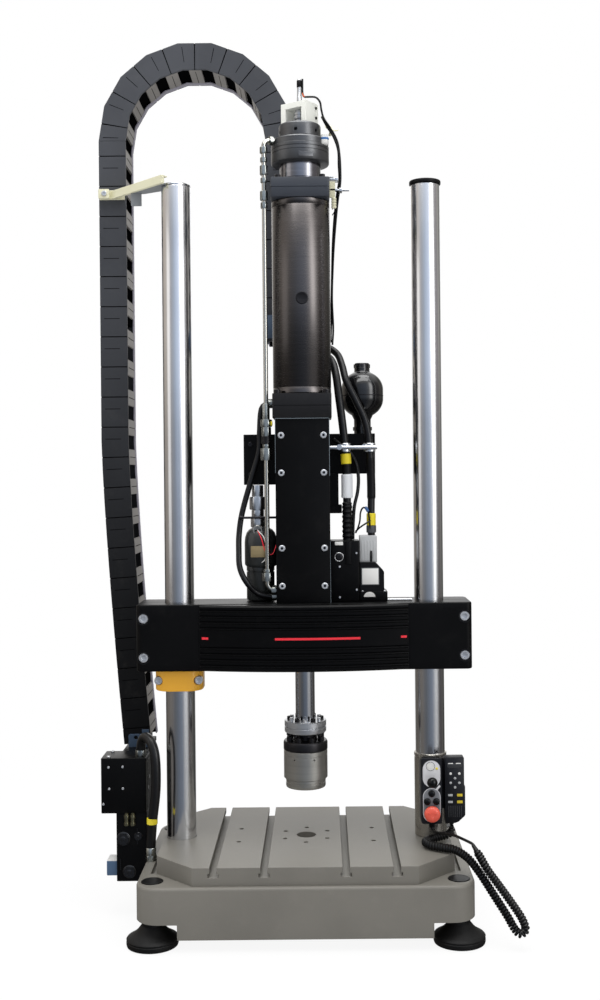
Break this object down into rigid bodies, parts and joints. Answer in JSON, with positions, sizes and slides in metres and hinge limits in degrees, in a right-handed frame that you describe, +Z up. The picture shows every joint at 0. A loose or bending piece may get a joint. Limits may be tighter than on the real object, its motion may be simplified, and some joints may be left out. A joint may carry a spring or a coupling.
{
  "type": "universal testing machine",
  "caption": "Table-top testing frame: T-slot table, two columns, fluted crosshead with axial and rotary actuator, load cell, energy chain loop and operator panel.",
  "frame": {"origin": "middle of the footprint, on the floor under the feet", "axes": "+Z up along the columns, front (panel side) towards -Y, X from the chain side to the panel side; the load axis is at x 0.0455, y 0"},
  "size_m": [0.8613, 0.4504, 1.8378],
  "materials": {
    "base_paint": "painted, fine texture",
    "crosshead_paint": "painted, satin",
    "black_paint": "satin",
    "black_steel": "black oxide",
    "black_rubber": "matt",
    "black_plastic": "satin",
    "chrome": "polished",
    "yellow_paint": "satin",
    "gunmetal": "dark satin",
    "bright_steel": "turned",
    "warm_grey_steel": "blasted",
    "chain_plastic": "satin",
    "cream_paint": "satin",
    "blue_grey_paint": "satin",
    "red_plastic": "gloss",
    "hose_rubber": "satin"
  },
  "bodies": {
    "frame": {"base_casting": "base_paint", "foot_front_left": "black_rubber", "foot_front_right": "black_rubber", "foot_rear_left": "black_rubber", "foot_rear_right": "black_rubber", "foot_plug_front_left": "black_plastic", "foot_plug_front_right": "black_plastic", "foot_plug_rear_left": "black_plastic", "foot_plug_rear_right": "black_plastic", "column_left": "chrome", "column_right": "chrome", "column_cap": "black_plastic", "chain_run_fixed": "chain_plastic", "chain_stay": "cream_paint", "chain_end_clamp": "blue_grey_paint", "side_manifold": "black_paint", "side_hose": "hose_rubber", "panel_sleeve": "warm_grey_steel", "panel_housing": "black_plastic", "handset": "black_plastic", "curly_cord": "hose_rubber", "handset_lead": "hose_rubber"},
    "stop_collar": {"stop_collar": "yellow_paint"},
    "crosshead": {"crosshead": "crosshead_paint", "clamp_bolt_left_lower": "black_steel", "clamp_bolt_left_upper": "black_steel", "clamp_bolt_right_lower": "black_steel", "clamp_bolt_right_upper": "black_steel", "pedestal_housing": "black_paint", "pedestal_cover": "black_paint", "lower_flange": "black_steel", "upper_flange": "black_steel", "cylinder_tube": "gunmetal", "bearing_neck": "bright_steel", "rotary_housing": "gunmetal", "rotary_cover": "gunmetal", "sensor_bracket": "cream_paint", "position_transducer": "bright_steel", "valve_manifold": "black_paint", "accumulator": "black_paint", "valve_block": "black_paint", "servo_valve": "black_paint", "pressure_filter": "warm_grey_steel", "pressure_pipe": "bright_steel", "return_hose": "hose_rubber", "hose_front": "hose_rubber", "hose_rear": "hose_rubber", "chain_guide": "blue_grey_paint"},
    "chain_loop": {"chain_loop": "chain_plastic"},
    "rotor": {"vane_rotor": "bright_steel"},
    "rod": {"piston_rod": "chrome", "rod_coupling": "bright_steel", "load_cell_adapter": "black_steel", "load_cell": "warm_grey_steel"},
    "mode_knob": {"mode_knob": "black_plastic"},
    "button_upper": {"button_upper": "black_plastic"},
    "button_left": {"button_left": "black_plastic"},
    "button_right": {"button_right": "black_plastic"},
    "stop_plunger": {"stop_plunger": "black_plastic"},
    "stop_head": {"emergency_stop": "red_plastic"}
  },
  "joints": [
    {"name": "collar_slide", "type": "slide", "parent": "frame", "child": "stop_collar", "axis": [0, 0, 1], "range_m": [-0.29, 0]},
    {"name": "crosshead_slide", "type": "slide", "parent": "frame", "child": "crosshead", "axis": [0, 0, 1], "range_m": [0, 0.75]},
    {"name": "chain_slide", "type": "slide", "parent": "frame", "child": "chain_loop", "axis": [0, 0, 1], "range_m": [0, 0.375]},
    {"name": "rotor_turn", "type": "hinge", "parent": "crosshead", "child": "rotor", "pos_m": [0.0455, 0, 1.5303], "axis": [0, 0, 1], "range_deg": [-135, 135]},
    {"name": "rod_slide", "type": "slide", "parent": "rotor", "child": "rod", "axis": [0, 0, 1], "range_m": [-0.05, 0.05]},
    {"name": "knob_turn", "type": "hinge", "parent": "frame", "child": "mode_knob", "pos_m": [0.2975, -0.0853, 0.288], "axis": [0, 1, 0], "range_deg": [-45, 45]},
    {"name": "press_upper", "type": "slide", "parent": "frame", "child": "button_upper", "axis": [0, 1, 0], "range_m": [0, 0.0025], "stiffness_N_per_m": 400},
    {"name": "press_left", "type": "slide", "parent": "frame", "child": "button_left", "axis": [0, 1, 0], "range_m": [0, 0.0025], "stiffness_N_per_m": 400},
    {"name": "press_right", "type": "slide", "parent": "frame", "child": "button_right", "axis": [0, 1, 0], "range_m": [0, 0.0025], "stiffness_N_per_m": 400},
    {"name": "stop_press", "type": "slide", "parent": "frame", "child": "stop_plunger", "axis": [0, 1, 0], "range_m": [0, 0.004]},
    {"name": "stop_twist", "type": "hinge", "parent": "stop_plunger", "child": "stop_head", "pos_m": [0.2975, -0.0853, 0.2235], "axis": [0, 1, 0], "range_deg": [0, 45], "stiffness_Nm_per_rad": 0.05}
  ],
  "couplings": [
    {"joint": "chain_slide", "follows": "crosshead_slide", "ratio": 0.5}
  ]
}
